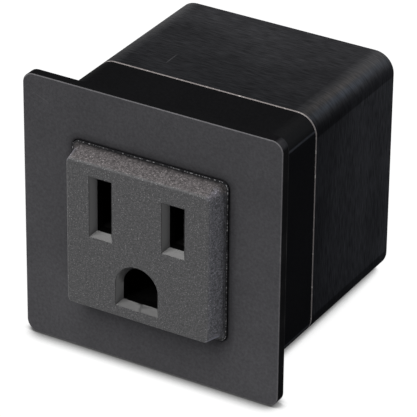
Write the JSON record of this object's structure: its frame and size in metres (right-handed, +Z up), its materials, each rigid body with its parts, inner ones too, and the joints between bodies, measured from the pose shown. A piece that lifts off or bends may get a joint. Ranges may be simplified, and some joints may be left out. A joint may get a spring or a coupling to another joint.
{
  "type": "flush-mount grounded power outlet",
  "caption": "Square flush-mount power outlet: a faceplate with a bevelled grounded three-hole socket, a machined collar and a square brushed tube behind it.",
  "frame": {"origin": "middle of the face by which the faceplate seats on a panel", "axes": "+Y from the front to the rear, along the body; +X to the viewer's right from the front; +Z up, with the blade slots above the earth hole"},
  "size_m": [0.045, 0.0461, 0.045],
  "materials": {
    "plate_black": "satin black anodised",
    "tube_black": "brushed, black anodised",
    "cover_black": "satin black anodised",
    "textured_plastic": "spark-textured moulding",
    "base_plastic": "plain moulding",
    "nylon": "satin nylon",
    "spring_brass": "rolled strip",
    "brass_screw": "turned",
    "nickel_screw": "nickel plated",
    "green_screw": "green dyed plating",
    "zinc_steel": "zinc plated",
    "black_screw": "black oxide",
    "fibre_sheet": "vulcanised fibre"
  },
  "bodies": {
    "root": {"bezel": "plate_black", "housing_tube": "tube_black", "back_cover": "cover_black", "inlet_bush": "nylon", "inlet_locknut": "nylon", "housing_screws": "black_screw", "outlet_face": "textured_plastic", "outlet_base": "base_plastic", "neutral_contact": "spring_brass", "line_contact": "spring_brass", "ground_contact": "spring_brass", "neutral_terminal_screw": "nickel_screw", "line_terminal_screw": "brass_screw", "ground_terminal_screw": "green_screw", "neutral_clamp_plate": "zinc_steel", "line_clamp_plate": "zinc_steel", "ground_clamp_plate": "zinc_steel", "outlet_screws": "zinc_steel", "retaining_frame": "zinc_steel", "retaining_screws": "zinc_steel", "bonding_strap": "spring_brass", "insulating_liner": "fibre_sheet"}
  },
  "joints": []
}
